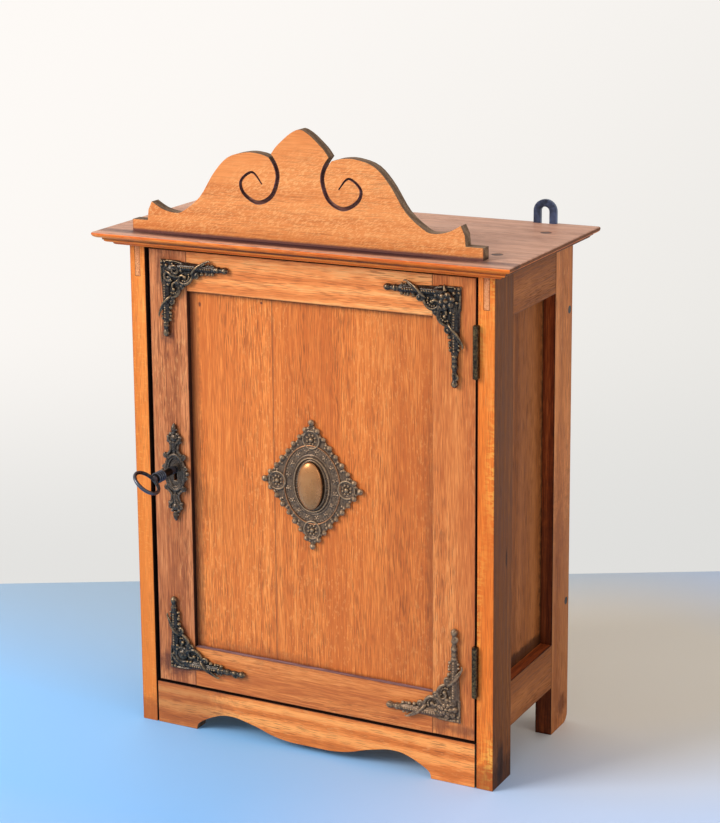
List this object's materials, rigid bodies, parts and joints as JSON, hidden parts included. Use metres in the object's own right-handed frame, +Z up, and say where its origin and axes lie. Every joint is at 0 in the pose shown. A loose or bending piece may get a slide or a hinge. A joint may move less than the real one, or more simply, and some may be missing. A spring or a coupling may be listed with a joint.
{
  "type": "wall medicine cabinet",
  "caption": "Small oak wall cabinet with one panelled door, moulded top, scrolled crest, shaped apron, dark cast corner mounts, a central medallion and a turning key.",
  "frame": {"origin": "middle of the overall box, at the floor plane under the four feet", "axes": "+Z up, the door faces -Y, +X runs from the lock side to the hinge side"},
  "size_m": [0.447, 0.2694, 0.6298],
  "materials": {
    "front_oak": "satin honey stain",
    "side_oak": "satin brown stain",
    "top_oak": "satin brown stain, worn",
    "inner_oak": "plain, lightly oiled",
    "dark_plug": "dark stained",
    "dark_bronze": "dark antique",
    "worn_bronze": "polished antique",
    "dark_iron": "dark, satin",
    "hinge_brass": "tarnished",
    "lock_steel": "dull"
  },
  "bodies": {
    "carcass": {"front_post_left": "front_oak", "back_post_left": "side_oak", "side_rail_top_left": "side_oak", "side_rail_bottom_left": "side_oak", "side_panel_left": "side_oak", "shelf_cleat_lower_left": "inner_oak", "shelf_cleat_upper_left": "inner_oak", "back_screw_lower_left": "dark_iron", "back_screw_upper_left": "dark_iron", "hanger_left": "dark_iron", "top_plug_front_left": "dark_plug", "top_plug_back_left": "dark_plug", "cornice_left": "side_oak", "front_post_right": "front_oak", "back_post_right": "side_oak", "side_rail_top_right": "side_oak", "side_rail_bottom_right": "side_oak", "side_panel_right": "side_oak", "shelf_cleat_lower_right": "inner_oak", "shelf_cleat_upper_right": "inner_oak", "back_screw_lower_right": "dark_iron", "back_screw_upper_right": "dark_iron", "hanger_right": "dark_iron", "top_plug_front_right": "dark_plug", "top_plug_back_right": "dark_plug", "cornice_right": "side_oak", "top_board": "top_oak", "cornice_front": "front_oak", "crest_board": "front_oak", "top_front_rail": "front_oak", "apron": "front_oak", "bottom_board": "inner_oak", "back_panel": "inner_oak", "shelf_lower": "inner_oak", "shelf_upper": "inner_oak", "door_stop": "inner_oak", "strike_plate": "hinge_brass", "hinge_leaf_post_lower": "hinge_brass", "hinge_leaf_post_upper": "hinge_brass", "hinge_pin_lower": "hinge_brass", "hinge_pin_upper": "hinge_brass"},
    "door": {"door_stile_left": "front_oak", "door_stile_right": "front_oak", "door_rail_top": "front_oak", "door_rail_bottom": "front_oak", "door_panel": "front_oak", "lock_case": "lock_steel", "escutcheon": "dark_bronze", "medallion_plate": "dark_bronze", "medallion_boss": "worn_bronze", "corner_mount_top_left": "dark_bronze", "corner_mount_top_right": "dark_bronze", "corner_mount_bottom_right": "dark_bronze", "corner_mount_bottom_left": "dark_bronze", "hinge_leaf_door_lower": "hinge_brass", "hinge_leaf_door_upper": "hinge_brass"},
    "key": {"key": "dark_iron"},
    "bolt": {"lock_bolt": "lock_steel"}
  },
  "joints": [
    {"name": "door_hinge", "type": "hinge", "parent": "carcass", "child": "door", "pos_m": [0.179, -0.0672, 0.275], "axis": [0, 0, 1], "range_deg": [0, 150]},
    {"name": "key_turn", "type": "hinge", "parent": "door", "child": "key", "pos_m": [-0.1494, -0.06425, 0.2773], "axis": [0, 1, 0], "range_deg": [0, 104]},
    {"name": "bolt_slide", "type": "slide", "parent": "door", "child": "bolt", "axis": [-1, 0, 0], "range_m": [0, 0.009]}
  ],
  "couplings": [
    {"joint": "bolt_slide", "follows": "key_turn", "m_per_rad": 0.004958}
  ]
}
